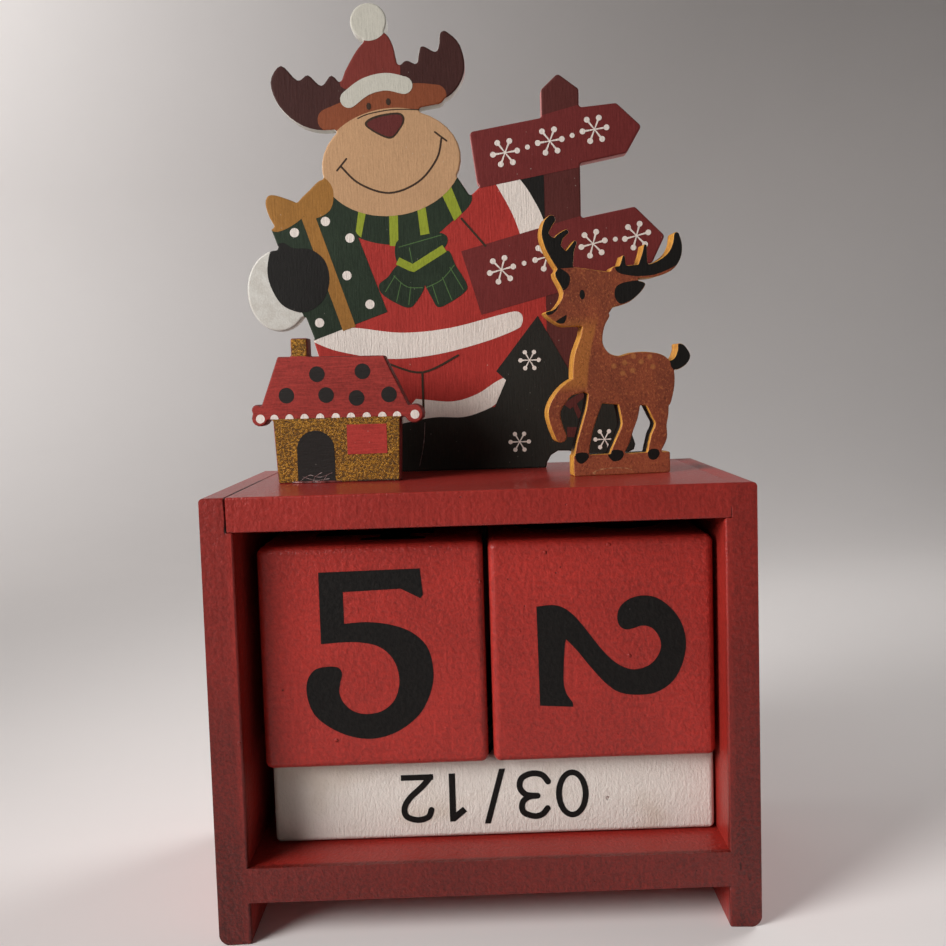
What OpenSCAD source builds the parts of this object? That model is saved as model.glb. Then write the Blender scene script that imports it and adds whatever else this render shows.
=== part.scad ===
// Perpetual block calendar: a painted wooden frame on two feet, with two date cubes standing
// on three month bars, and three festive plywood cut-outs glued to its top.
// Millimetres. X runs to the right, Y to the back and Z up. The origin is on the floor,
// below the middle of the frame.

/* [Blocks] */
// Edge length of a date cube
cube_size = 40; // [30:0.5:60]
// Rounding of a date cube's edges
cube_round = 1.4; // [0.5:0.1:3]
// Height of a month bar
bar_h = 15; // [10:0.5:24]
// Depth of a month bar, front to back
bar_d = 12; // [8:0.5:14]
// How much shorter a month bar is than the row of two cubes and the gap between them
bar_short = 0.1; // [0:0.1:3]
// Rounding of a month bar's edges
bar_round = 1; // [0.4:0.1:2.5]

/* [Room around the blocks] */
// Free room at the left of the left cube
left_play = 2.5; // [0.5:0.1:6]
// Free room between the two cubes
cube_gap = 0.9; // [0.3:0.1:4]
// Free room at the right of the right cube
right_play = 0.8; // [0.3:0.1:4]
// Free room at the right of the bars
bar_play = 0.4; // [0.3:0.1:4]
// Free room above the cubes
top_play = 3.6; // [1:0.1:8]
// Clearance under a block, and between a block and the one behind it
block_fit = 0.2; // [0.1:0.05:0.5]
// How far the cubes stand back from the frame's front
set_back = 4.8; // [0:0.1:10]

/* [Frame] */
// Thickness of the side panels
side_t = 5.6; // [4.5:0.1:10]
// Thickness of the top panel
top_t = 6.1; // [4:0.1:10]
// Thickness of the bottom shelf
shelf_t = 6.2; // [4:0.1:10]
// Height of the feet below the shelf
foot_h = 7.5; // [3:0.5:20]
// Depth of the rebate that takes the top panel's ends
top_let_in = 1.2; // [0.5:0.1:2.5]
// Depth of the housing that takes the shelf's ends
shelf_let_in = 2; // [0.5:0.1:2.5]
// Rounding of the side panels' outer top edges
top_round = 0.8; // [0.2:0.1:2]
// Rounding of the feet's outer bottom edges
foot_round = 2; // [0.2:0.1:3]

/* [Back panel] */
// Thickness of the back panel
back_t = 3; // [2:0.1:5]
// Width of the rebate that the back panel sits in
rebate_w = 2.5; // [1.5:0.1:3]
// Clearance round the back panel's edges
back_fit = 0.15; // [0.05:0.05:0.4]

/* [Brads] */
// Shank diameter of the brads that hold the frame's corners
brad_d = 1.2; // [0.8:0.1:1.6]
// Head diameter of those brads
brad_head_d = 2.2; // [1.8:0.1:3]
// Length of those brads
brad_l = 16; // [10:0.5:25]
// Distance of those brads from the frame's front and back
brad_inset = 11; // [6:0.5:16]
// Shank diameter of the back panel's pins
pin_d = 0.9; // [0.6:0.1:1.2]
// Head diameter of those pins
pin_head_d = 1.8; // [1.4:0.1:2.2]
// Length of those pins
pin_l = 9; // [6:0.5:14]
// Distance of the outer pins from the back panel's top and bottom
pin_inset = 9; // [4:0.5:15]
// Pins in each upright edge of the back panel
pin_count = 3; // [2:1:5]
// Thickness of all the heads
head_t = 0.5; // [0.3:0.1:0.8]
// Clearance round a brad or pin in its hole
brad_fit = 0.03; // [0.01:0.01:0.08]

/* [Reindeer cut-out] */
// Height of the reindeer cut-out
reindeer_h = 95.5; // [60:0.5:140]
// Thickness of its plywood
reindeer_t = 3; // [2:0.1:6]
// How far its face stands back from the frame's front
reindeer_back = 36; // [24:0.5:40]
// Rounding of its sawn corners
reindeer_soft = 0.5; // [0.2:0.1:1]

/* [Cottage cut-out] */
// Height of the cottage cut-out
cottage_h = 27.6; // [18:0.2:45]
// Thickness of its plywood
cottage_t = 3.5; // [2:0.1:6]
// How far its face stands back from the frame's front
cottage_back = 19.5; // [6:0.5:24]
// How far its middle is left of the frame's middle
cottage_left = 26.6; // [20:0.2:30]
// How far it is turned on its glue, in degrees
cottage_turn = -3; // [-10:0.5:10]
// Rounding of its sawn corners
cottage_soft = 0.4; // [0.2:0.1:1]

/* [Deer cut-out] */
// Height of the deer cut-out
deer_h = 48.85; // [30:0.05:75]
// Thickness of its plywood
deer_t = 3.5; // [2:0.1:6]
// How far its face stands back from the frame's front
deer_back = 18.5; // [8:0.5:24]
// How far its middle is right of the frame's middle
deer_right = 27.3; // [20:0.2:30]
// How far it is turned on its glue, in degrees
deer_turn = 8; // [-10:0.5:10]
// Rounding of its sawn corners
deer_soft = 0.25; // [0.1:0.05:0.6]

/* [Hidden] */

// Facets of a round hole or corner, of a block's rounded edges, of a drawn round and of a small one
$fn = 32;
block_facets = 24;
drawn_facets = 36;
small_facets = 14;
// Steps from one point of a drawn curve to the next
curve_steps = 4;
// How far a cutting shape reaches past the face that it cuts
over = 1;

// The frame is built round its blocks
opening_w = left_play + cube_size + cube_gap + cube_size + right_play;
opening_h = block_fit + bar_h + block_fit + cube_size + top_play;
frame_w = opening_w + 2 * side_t;
frame_h = foot_h + shelf_t + opening_h + top_t;
frame_d = set_back + cube_size + block_fit + back_t;
front_y = -frame_d / 2;
back_y = frame_d / 2;
shelf_top = foot_h + shelf_t;
opening_top = shelf_top + opening_h;

// Where the blocks stand
blocks_right = opening_w / 2 - right_play;
blocks_back = back_y - back_t - block_fit;
bars_right = opening_w / 2 - bar_play;
bar_l = 2 * cube_size + cube_gap - bar_short;
bar_pitch = bar_d + block_fit;
cube_z = shelf_top + block_fit + bar_h + block_fit;

// Corner rounding of the signpost and its boards, and of every other straight-sided drawn shape
sign_round = 0.8;
corner_round = 0.35;

red_paint = [0.62, 0.17, 0.15];
off_white = [0.80, 0.78, 0.73];
bare_steel = [0.6, 0.6, 0.62];
raw_ply = [0.72, 0.58, 0.42];

// Point at share s of the span from b to c of a curve through a, b, c and d
function curve_point(a, b, c, d, s) =
    b + s * (c - a) / 2 + s * s * (2 * a - 5 * b + 4 * c - d) / 2
      + s * s * s * (3 * b - a - 3 * c + d) / 2;

// Closed smooth curve through the given points
function smooth(p) =
    let (n = len(p))
    [for (i = [0:n - 1], k = [0:curve_steps - 1])
        curve_point(p[(i + n - 1) % n], p[i], p[(i + 1) % n], p[(i + 2) % n], k / curve_steps)];

// Smooth line of a limb through its stations, each an [x, y, radius]
function limb(p) =
    let (n = len(p))
    [for (i = [0:n - 2], k = [0:curve_steps - 1])
        curve_point(p[max(i - 1, 0)], p[i], p[i + 1], p[min(i + 2, n - 1)], k / curve_steps),
     p[n - 1]];

// Edge of a limb, on the left (1) or on the right (-1) of its line
function limb_edge(line, side) =
    [for (i = [0:len(line) - 1])
        let (from = line[max(i - 1, 0)], to = line[min(i + 1, len(line) - 1)],
             out = atan2(to.y - from.y, to.x - from.x) + 90 * side)
        [line[i].x + line[i].z * cos(out), line[i].y + line[i].z * sin(out)]];

module blob(points) {
    polygon(smooth(points));
}

// Limb, prong or band that follows stations of changing radius
module stroke(stations) {
    line = limb(stations);
    right = limb_edge(line, -1);
    polygon(concat(limb_edge(line, 1), [for (i = [len(right) - 1:-1:0]) right[i]]));
    for (end = [line[0], line[len(line) - 1]])
        translate([end.x, end.y]) circle(r = end.z, $fn = small_facets);
}

module ellipse(half_w, half_h) {
    step = 360 / drawn_facets;
    polygon([for (a = [0:step:360 - step]) [half_w * cos(a), half_h * sin(a)]]);
}

// Outline with its outer corners rounded
module rounded(r) {
    offset(r = r, $fn = small_facets) offset(delta = -r) children();
}

// Outline as the saw leaves it, with its inner corners rounded
module sawn(r) {
    offset(r = -r, $fn = small_facets) offset(delta = r) children();
}

// Plywood sheet of thickness t, upright, with its face on y = 0 and its foot on z = 0
module upright(t) {
    translate([0, t, 0]) rotate([90, 0, 0]) linear_extrude(t) children();
}

// What a rounding of radius r takes off a corner at the origin, with the board at +x and +y
module corner_waste(r) {
    difference() {
        translate([-over, -over]) square(r + over);
        translate([r, r]) circle(r = r);
    }
}

// Nail along +X with its head's outer face on x = 0, larger all round by fit
module nail(d, head_d, l, fit) {
    rotate([0, 90, 0]) {
        cylinder(d = d + 2 * fit, h = l + fit);
        cylinder(d = head_d + 2 * fit, h = head_t + fit);
    }
}

// Copies what is drawn for the left corner to both sides, at both heights and both depths
module at_frame_brads() {
    for (side = [0, 1], y = [front_y + brad_inset, back_y - brad_inset],
         z = [foot_h + shelf_t / 2, frame_h - top_t / 2])
        mirror([side, 0, 0]) translate([-frame_w / 2, y, z]) children();
}

module at_back_pins() {
    pin_x = opening_w / 2 + rebate_w / 2;
    low = shelf_top - rebate_w + pin_inset;
    high = opening_top + rebate_w - pin_inset;
    for (side = [-1, 1], i = [0:pin_count - 1])
        translate([side * pin_x, back_y, low + i * (high - low) / (pin_count - 1)])
            rotate([0, 0, -90]) children();
}

module brad_holes() {
    at_frame_brads() nail(brad_d, brad_head_d, brad_l, brad_fit);
}

module pin_holes() {
    at_back_pins() nail(pin_d, pin_head_d, pin_l, brad_fit);
}

// Room for the back panel, smaller all round by fit
module back_space(fit, past) {
    w = opening_w + 2 * rebate_w - 2 * fit;
    h = opening_h + 2 * rebate_w - 2 * fit;
    translate([-w / 2, back_y - back_t, shelf_top - rebate_w + fit]) cube([w, back_t + past, h]);
}

// Left side panel seen from the front, with its outer face on x = 0
module side_profile() {
    difference() {
        square([side_t, frame_h]);
        translate([side_t - top_let_in, frame_h - top_t]) square([top_let_in + over, top_t + over]);
        translate([side_t - shelf_let_in, foot_h]) square([shelf_let_in + over, shelf_t]);
        corner_waste(foot_round);
        translate([0, frame_h]) mirror([0, 1]) corner_waste(top_round);
    }
}

module side_panel(side) {
    color(red_paint) difference() {
        mirror([side, 0, 0]) translate([-frame_w / 2, back_y, 0])
            rotate([90, 0, 0]) linear_extrude(frame_d) side_profile();
        back_space(0, over);
        brad_holes();
        pin_holes();
    }
}

module left_side_panel() { side_panel(0); }

module right_side_panel() { side_panel(1); }

module top_panel() {
    w = opening_w + 2 * top_let_in;
    color(red_paint) difference() {
        translate([-w / 2, front_y, opening_top]) cube([w, frame_d, top_t]);
        back_space(0, over);
        brad_holes();
    }
}

module bottom_shelf() {
    w = opening_w + 2 * shelf_let_in;
    color(red_paint) difference() {
        translate([-w / 2, front_y, foot_h]) cube([w, frame_d, shelf_t]);
        back_space(0, over);
        brad_holes();
    }
}

module back_panel() {
    color(red_paint) difference() {
        back_space(back_fit, 0);
        pin_holes();
    }
}

module frame_brads() {
    color(bare_steel) at_frame_brads() nail(brad_d, brad_head_d, brad_l, 0);
}

module back_panel_pins() {
    color(bare_steel) at_back_pins() nail(pin_d, pin_head_d, pin_l, 0);
}

// Block with its lower left front corner at the origin and all its edges rounded
module block(size, r) {
    hull()
        for (x = [r, size.x - r], y = [r, size.y - r], z = [r, size.z - r])
            translate([x, y, z]) sphere(r = r, $fn = block_facets);
}

module date_cube(right_x) {
    color(red_paint) translate([right_x - cube_size, blocks_back - cube_size, cube_z])
        block([cube_size, cube_size, cube_size], cube_round);
}

module left_date_cube() { date_cube(blocks_right - cube_size - cube_gap); }

module right_date_cube() { date_cube(blocks_right); }

// Month bar, counted from the back
module month_bar(place) {
    y = blocks_back - bar_d - place * bar_pitch;
    color(off_white) translate([bars_right - bar_l, y, shelf_top + block_fit])
        block([bar_l, bar_d, bar_h], bar_round);
}

module rear_month_bar() { month_bar(0); }

module middle_month_bar() { month_bar(1); }

module front_month_bar() { month_bar(2); }

// Cut-outs are drawn with the foot on y = 0, and sized to their height

module hat() {
    translate([-19.6, 91.8]) circle(r = 3.7, $fn = drawn_facets);
    blob([[-25.3, 79.3], [-23, 85], [-19.8, 88.6], [-17.6, 89.8], [-16, 89.2], [-14.9, 87.3], [-14.3, 84.8],
          [-14, 80], [-19, 78]]);
    stroke([[-24.1, 76.4, 1.7], [-20.6, 78.9, 1.7], [-16.5, 79.8, 1.7], [-12.7, 79, 1.7]]);
}

module antlers() {
    blob([[-25, 78], [-27.4, 81.3], [-29.6, 79.3], [-32.2, 81.5], [-34.4, 80.5], [-37.6, 83.5],
          [-39.9, 80.2], [-38.2, 75.2], [-33.6, 71.3], [-28, 70.4], [-24, 73]]);
    blob([[-14.5, 80], [-13.5, 82.8], [-12.1, 83.9], [-10.2, 83.2], [-9.7, 84.9], [-9.3, 86.4],
          [-8.4, 86.6], [-6.2, 85.5], [-5.5, 86.9], [-5.3, 88.7], [-4.8, 89.5], [-3.7, 89.4],
          [-1.2, 86.8], [-0.3, 82], [-2.2, 77.8], [-6, 75.6], [-11, 76]]);
}

module head() {
    stroke([[-28.3, 72.4, 2.1], [-22, 74, 2.8], [-16.5, 75, 3.4], [-11, 76.6, 2.6], [-6.3, 76.8, 1.9]]);
    translate([-15.9, 63.6]) rotate(7) ellipse(14.3, 10.6);
}

module gift() {
    translate([-29.6, 42.1]) rotate(19.5) rounded(corner_round) square([15.8, 24], center = true);
    blob([[-34.5, 55], [-38.2, 57.1], [-41.2, 57.6], [-41.9, 55.2], [-39.8, 51], [-35, 51]]);
    blob([[-35.6, 55.4], [-32.9, 58.4], [-30.2, 60.5], [-28.4, 58.2], [-29, 53], [-34, 52]]);
    translate([-40, 38.2]) ellipse(6.4, 8.3);
}

module coat_and_boots() {
    rounded(corner_round)
        polygon([[-28.5, 58], [-2.4, 60.2], [0, 56.4], [2, 58.2], [15.5, 61], [20, 30], [20, 3.9],
                 [17, 3.6], [15.3, 2.6], [14.5, 1.2], [14.3, 0], [-27, 0], [-29.5, 14], [-33.2, 27.6]]);
}

module signpost() {
    rounded(sign_round) polygon([[15, 3.8], [22.5, 3.8], [22.8, 77.4], [18.5, 80.6], [15, 77.4]]);
    rounded(sign_round)
        polygon([[0.2, 69.3], [15, 71.8], [22.8, 73.7], [30.4, 74.4], [35.5, 69.6],
            [32.3, 64.2], [1.6, 58.4]]);
    rounded(sign_round)
        polygon([[-2, 45], [22, 51.2], [33.8, 53.4], [39.9, 47.3], [37.2, 41.8], [1.5, 32.3]]);
}

module little_tree() {
    rounded(corner_round) polygon([[21.5, 25], [32.4, 3.8], [14, 3.8]]);
}

module reindeer_cutout() {
    color(raw_ply) translate([0, front_y + reindeer_back, frame_h])
        upright(reindeer_t) sawn(reindeer_soft) resize([0, reindeer_h], auto = true) {
            hat();
            antlers();
            head();
            gift();
            coat_and_boots();
            signpost();
            little_tree();
        }
}

module cottage_cutout() {
    color(raw_ply) translate([-cottage_left, front_y + cottage_back, frame_h]) rotate([0, 0, cottage_turn])
        upright(cottage_t) sawn(cottage_soft) resize([0, cottage_h], auto = true) {
            // Walls, roof, chimney, and the round ends of the eaves
            rounded(corner_round) polygon([[-11.7, 0], [11.7, 0], [12.2, 13], [-12.3, 13]]);
            rounded(corner_round) polygon([[-15.4, 12.2], [-10.9, 24.2], [9.4, 23.9], [14.9, 12.2]]);
            rounded(corner_round) translate([-8.3, 23]) square([3.2, 4.6]);
            translate([-14.8, 12.6]) circle(r = 1.55);
            translate([-15.3, 14.2]) circle(r = 1);
            translate([14.8, 12.8]) circle(r = 1.8);
        }
}

module deer_legs() {
    stroke([[-7.8, 17.3, 1.6], [-10.1, 16.3, 1.3], [-12, 14.1, 1.25], [-12.8, 12.1, 1.2],
            [-12.4, 9.8, 1.15], [-11.6, 7.6, 1.1]]);
    stroke([[-4.6, 15, 1.6], [-5.3, 12.6, 1.3], [-6.4, 9.3, 1.2], [-7.3, 6, 1.3], [-7.8, 3, 1.4]]);
    stroke([[1.8, 14.5, 2.4], [1.8, 11, 1.7], [1.4, 8.9, 1.25], [0.5, 6.6, 1.35], [-0.7, 4.2, 1.3],
            [-1, 3, 1.3]]);
    stroke([[7.2, 14.5, 2.6], [7.9, 11, 1.65], [8, 9.2, 1.15], [7.6, 7, 1.6], [6.7, 4.6, 1.35],
            [6.4, 3, 1.35]]);
}

module deer_body() {
    // Trunk and neck
    blob([[-9.1, 19], [-8.7, 22.8], [-7.4, 26.3], [-6.7, 28.4], [-3.6, 31.2], [-1.7, 30.3], [-2.6, 28.4],
          [-3.1, 26.4], [-3, 24.6], [-1.8, 23], [0.3, 22.5], [2.8, 23.1], [5.9, 23.1], [8.7, 22.4],
          [10.4, 20.6], [10.9, 18], [10.5, 15], [9.4, 12.6], [6, 12.9], [1.5, 13.2], [-3.5, 13.7],
          [-6, 15.4], [-7.5, 16.2], [-8.8, 17]]);
    // Tail
    blob([[9.4, 21], [10.8, 21.8], [11.5, 23.4], [11.6, 24.5], [12.8, 24.3], [14, 22.6], [13.8, 21.3],
          [12.6, 20.1], [10.9, 19.6]]);
}

module deer_head() {
    blob([[-14.1, 30.7], [-12.2, 31.6], [-10.6, 34.4], [-12.1, 38.2], [-9, 39.2], [-2.8, 38.4], [1, 38.2],
          [3.5, 36.9], [0.2, 34.6], [-0.9, 31.9], [-2.4, 30], [-5, 28.2], [-8.2, 28.3], [-11.1, 28.4]]);
    // Ear
    blob([[-1, 33], [0.8, 35.6], [2.6, 36.4], [4.2, 36.5], [5.4, 36], [4.9, 34.9], [3.6, 33.6], [2.2, 32.6],
          [0.6, 32], [-0.8, 31.8]]);
}

module deer_antlers() {
    // Left antler and its two prongs
    stroke([[-10.1, 39.5, 1.6], [-11.3, 41.4, 1.6], [-12.7, 43.4, 1.3], [-13.7, 45.3, 0.75],
            [-13.2, 47.1, 0.9], [-12.5, 48, 0.85]]);
    stroke([[-12, 43, 1.2], [-10.9, 44.8, 0.7], [-9.7, 45.7, 0.5]]);
    stroke([[-9.7, 40.4, 1.3], [-8.9, 42.3, 0.7], [-8.1, 43.7, 0.4]]);
    // Right antler and its two prongs
    stroke([[-0.4, 38.4, 0.9], [1.5, 38.35, 1.05], [3.9, 38.3, 1.3], [6.8, 38.45, 1.3], [9.7, 39.6, 1.5],
            [11.2, 41.2, 1.35], [11.8, 43.2, 1], [11.7, 45, 0.6]]);
    stroke([[4.9, 38.8, 1.1], [5.3, 41.4, 0.55], [5.5, 43, 0.35]]);
    stroke([[1, 39, 0.7], [1.25, 41, 0.3]]);
}

module deer_cutout() {
    color(raw_ply) translate([deer_right, front_y + deer_back, frame_h]) rotate([0, 0, deer_turn])
        upright(deer_t) sawn(deer_soft) resize([0, deer_h], auto = true) {
            rounded(corner_round) translate([-9.3, 0]) square([19, 4]);
            deer_legs();
            deer_body();
            deer_head();
            deer_antlers();
        }
}

left_side_panel();
right_side_panel();
top_panel();
bottom_shelf();
back_panel();
frame_brads();
back_panel_pins();
left_date_cube();
right_date_cube();
front_month_bar();
middle_month_bar();
rear_month_bar();
reindeer_cutout();
cottage_cutout();
deer_cutout();
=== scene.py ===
"""Looks of a wooden block calendar: a red frame with two date cubes and three month bars in it,
and a printed reindeer board, a cottage and a deer standing on its top. Drawings are in millimetres."""
import math

import bmesh
import bpy
import numpy as np
from mathutils import Matrix, Vector
from mathutils.geometry import delaunay_2d_cdt, tessellate_polygon


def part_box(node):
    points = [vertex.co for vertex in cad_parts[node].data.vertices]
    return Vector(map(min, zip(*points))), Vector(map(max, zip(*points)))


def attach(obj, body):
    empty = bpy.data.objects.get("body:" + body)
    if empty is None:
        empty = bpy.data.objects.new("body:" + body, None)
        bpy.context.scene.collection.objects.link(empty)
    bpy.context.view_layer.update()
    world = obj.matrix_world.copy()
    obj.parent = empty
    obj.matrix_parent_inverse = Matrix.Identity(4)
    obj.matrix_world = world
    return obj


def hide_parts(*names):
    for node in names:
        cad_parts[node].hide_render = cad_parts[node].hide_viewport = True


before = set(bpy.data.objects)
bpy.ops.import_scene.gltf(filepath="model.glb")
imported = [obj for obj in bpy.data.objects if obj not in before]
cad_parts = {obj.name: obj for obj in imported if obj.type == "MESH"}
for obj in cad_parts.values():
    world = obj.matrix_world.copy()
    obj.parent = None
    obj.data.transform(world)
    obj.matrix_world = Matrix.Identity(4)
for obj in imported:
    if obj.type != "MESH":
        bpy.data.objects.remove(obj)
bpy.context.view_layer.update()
MM = 0.001
UP = Vector((0, 0, 1))


# Camera

CAMERA_PLACE = Vector((0.41, -183.33, 97.83)) * MM
CAMERA_YAW, CAMERA_PITCH, CAMERA_ROLL = (math.radians(a) for a in (0.658, 3.564, 1.664))
CAMERA_LENS = 35.76
CAMERA_SHIFT = (-0.0181, -0.0385)
CAMERA_SENSOR, CAMERA_NEAREST = 36, 0.005


def make_camera():
    """Stands where the photograph was taken, a little above the frame's top and rolled a little."""
    ahead = Vector((math.sin(CAMERA_YAW) * math.cos(CAMERA_PITCH),
                    math.cos(CAMERA_YAW) * math.cos(CAMERA_PITCH), -math.sin(CAMERA_PITCH)))
    level = Vector((math.cos(CAMERA_YAW), -math.sin(CAMERA_YAW), 0))
    below = ahead.cross(level)
    right = level * math.cos(CAMERA_ROLL) + below * math.sin(CAMERA_ROLL)
    down = below * math.cos(CAMERA_ROLL) - level * math.sin(CAMERA_ROLL)
    data = bpy.data.cameras.new("camera")
    data.sensor_width = CAMERA_SENSOR
    data.lens = CAMERA_LENS
    data.shift_x, data.shift_y = CAMERA_SHIFT
    data.clip_start = CAMERA_NEAREST
    camera = bpy.data.objects.new("camera", data)
    turn = Matrix((right, -down, -ahead)).transposed().to_4x4()
    camera.matrix_world = Matrix.Translation(CAMERA_PLACE) @ turn
    bpy.context.scene.collection.objects.link(camera)
    bpy.context.scene.camera = camera


# Shader maths

class Wire:
    """An output of a material's nodes, so that shader maths reads as Python."""

    def __init__(self, tree, socket=None):
        self.tree, self.socket = tree, socket

    def node(self, kind, settings=None, sockets=None, out=0):
        """Adds a node, its settings first and then its sockets' values or links, and gives one output."""
        made = self.tree.nodes.new(kind)
        for key, value in (settings or {}).items():
            setattr(made, key, value)
        for key, value in (sockets or {}).items():
            if isinstance(value, Wire):
                self.tree.links.new(value.socket, made.inputs[key])
            else:
                made.inputs[key].default_value = value
        return Wire(self.tree, made.outputs[out] if made.outputs else None)

    def maths(self, operation, first, second):
        return self.node("ShaderNodeMath", {"operation": operation}, {0: first, 1: second})

    def __add__(self, other):
        return self.maths("ADD", self, other)

    def __radd__(self, other):
        return self.maths("ADD", other, self)

    def __sub__(self, other):
        return self.maths("SUBTRACT", self, other)

    def __rsub__(self, other):
        return self.maths("SUBTRACT", other, self)

    def __mul__(self, other):
        return self.maths("MULTIPLY", self, other)

    def __rmul__(self, other):
        return self.maths("MULTIPLY", other, self)

    def __pow__(self, other):
        return self.maths("POWER", self, other)

    def size(self):
        return self.maths("ABSOLUTE", self, 0.0)

    def step(self, low, high):
        """Runs softly from 0 at low to 1 at high."""
        return self.node("ShaderNodeMapRange", {"interpolation_type": "SMOOTHSTEP"},
                         {"Value": self, "From Min": low, "From Max": high})


def place(root, x=1.0, y=1.0, z=1.0):
    """The point on the piece in millimetres, times a number along each axis."""
    point = root.node("ShaderNodeTexCoord", out="Object")
    return root.node("ShaderNodeVectorMath", {"operation": "MULTIPLY"},
                     {0: point, 1: (x / MM, y / MM, z / MM)})


def along(root, axis):
    """How far the point is along an axis, in millimetres."""
    return root.node("ShaderNodeSeparateXYZ", None, {"Vector": place(root)}, axis)


def xyz(root):
    """How far the point is along each of the three axes, in millimetres."""
    return [along(root, axis) for axis in "XYZ"]


def grain(root, where, detail=2.0, rough=0.5):
    """Cloudy noise over a place, from 0 to 1."""
    return root.node("ShaderNodeTexNoise", None,
                     {"Vector": where, "Scale": 1.0, "Detail": detail, "Roughness": rough})


def flecks(root, where, out="Distance"):
    """Cells over a place: how far the point is from its cell's middle, or the cell's own colour."""
    return root.node("ShaderNodeTexVoronoi", None, {"Vector": where, "Scale": 1.0}, out)


def blend(root, share, first, second):
    """A colour between two colours."""
    return root.node("ShaderNodeMix", {"data_type": "RGBA"}, {0: share, 6: first, 7: second}, 2)


def relief(root, height, depth):
    """The normal of a surface whose height runs over a depth in millimetres."""
    return root.node("ShaderNodeBump", None, {"Strength": 1.0, "Distance": depth * MM, "Height": height})


def paint(red, green, blue):
    """A colour as a screen shows it, 0 to 255, for a shader's socket."""
    shares = [c / 255 for c in (red, green, blue)]
    return (*(c / 12.92 if c <= 0.04045 else ((c + 0.055) / 1.055) ** 2.4 for c in shares), 1.0)


def finish(name, sockets):
    """A material of one principled shader; sockets(root) gives what feeds it."""
    material = bpy.data.materials.new(name)
    material.use_nodes = True
    material.node_tree.nodes.clear()
    root = Wire(material.node_tree)
    shader = root.node("ShaderNodeBsdfPrincipled", None, sockets(root))
    root.node("ShaderNodeOutputMaterial", None, {"Surface": shader})
    return material


# Places that the finishes follow, in millimetres. A pair bounds a soft mask: 0 at its first number, 1 at its second.
TOP_JOINT, SHELF_JOINT = 43.3, 44.1
JOINT_FRONT, TOP_BOARD = (22, -14), (72.4, 73)
SHELF_FACE, SHELF_UNDERSIDE = (14.2, 13.6), (7, 7.6)
FRAME_FRONT, FRAME_TOP = (-22.6, -23.4), (78.5, 78.75)
# The frame's painted shade runs downwards, over its lowest part and on its posts
FRAME_DOWNWARDS, FRAME_LOW, POSTS = (80, 6), (24, 16), (42.6, 43.8)
# Painted shade: the bars' left end, in the left post's shadow
SHADED_BAR_END = (-29, -40)
# Painted shadow: a dark line along the foot of the cottage's wall, on its right part
WALL_SHADOW_LINE, WALL_SHADOW_RIGHT = (79.4, 79.1), (-24.5, -22.5)
SIGN_RIGHTWARDS, SIGN_UPWARDS, SIGN_BEFORE_BACK = (-1.5, 0), (120, 124), (14.9, 14.6)
DEER_TURN, DEER_FACE = math.radians(8), 9.25
DEER_FRONT_ARRIS, DEER_BEFORE_BACK = (1.3, 1.7), (3.45, 3.3)
# Where painted shade fills the gaps between the deer's legs
LEG_GAPS_ACROSS, LEG_GAPS_UP = ((17.1, 17.5), (33.8, 33.4)), ((96.6, 96), (82.4, 82.8))
CHEST_LINE, CHEST_LOWEST, CHEST_BEND = 21.1, 94.3, 0.0123
CHEST_EDGE, CHEST_TOP, CHEST_FOOT = (-0.2, 0.4), (109.5, 105.5), (94.2, 96.4)
# Painted light: the deer's foot is lighter below this height
LIT_DEER_FOOT = (85, 81)
DEER_SPOTS = [(28.3, 100), (27.9, 98), (29.8, 98.5), (31.5, 100.1), (33.2, 101), (33.8, 99.1), (26.2, 99.4),
              (30, 101.2)]
DEER_SPOT_RADIUS = 0.7


# Finishes

def red_paint(name, tones, brush, peel_depth, gloss, shade_tones=None, cracks=None):
    """Satin paint over sanded wood: orange peel, brush marks, dust nibs and pits. The frame's paint
    has painted shade lower down its front and on its posts, is glossier on its top and cracked at open joints."""
    def sockets(root):
        peel = grain(root, place(root, 1.3, 1.3, 1.1), 2, 0.5)
        fine = grain(root, place(root, 2.6, 2.6, 2.6), 2, 0.6)
        strokes = grain(root, place(root, *brush), 2, 0.5)
        cloud = grain(root, place(root, 0.05, 0.05, 0.05), 2)
        pits = flecks(root, place(root, 0.3, 0.3, 0.3)).step(0.06, 0.03) * cloud.step(0.45, 0.6)
        nibs = flecks(root, place(root, 0.11, 0.11, 0.11)).step(0.045, 0.02)
        shade = cloud.step(0.3, 0.7) * 0.3 + peel.step(0.3, 0.7) * 0.4 + fine.step(0.3, 0.7) * 0.3
        colour = blend(root, shade, *tones)
        height = peel * 0.8 + strokes * 0.7 + fine * 0.4 + nibs * 1.2 - pits
        gloss_here = gloss
        if shade_tones:
            x, y, z = xyz(root)
            # Painted shade: the frame's front darkens downwards, over its lowest part and on its posts
            low, post = z.step(*FRAME_LOW), x.size().step(*POSTS)
            lower = z.step(*FRAME_DOWNWARDS) * 0.7 + post * 0.3 + low * (1 - post) * 0.12
            painted_shade = lower * y.step(*FRAME_FRONT)
            stipple = fine.step(0.35, 0.65) * 0.55 + peel.step(0.3, 0.7) * 0.2 + cloud.step(0.3, 0.7) * 0.25
            colour = blend(root, painted_shade, colour, blend(root, stipple, *shade_tones))
            height = height * (1 + painted_shade * low * 0.9)
            gloss_here = gloss + z.step(*FRAME_TOP) * 0.2
        colour = blend(root, pits * 0.7, colour, paint(62, 22, 18))
        if cracks:
            gap = cracks(root, strokes)
            colour = blend(root, gap, colour, paint(34, 14, 12))
            height = height - gap * 1.5
        return {"Base Color": colour, "Roughness": 0.28 + fine * 0.16 + peel * 0.1, "Specular IOR Level": 0.4,
                "Coat Weight": gloss_here, "Coat Roughness": 0.12, "Normal": relief(root, height, peel_depth)}
    return finish(name, sockets)


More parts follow.
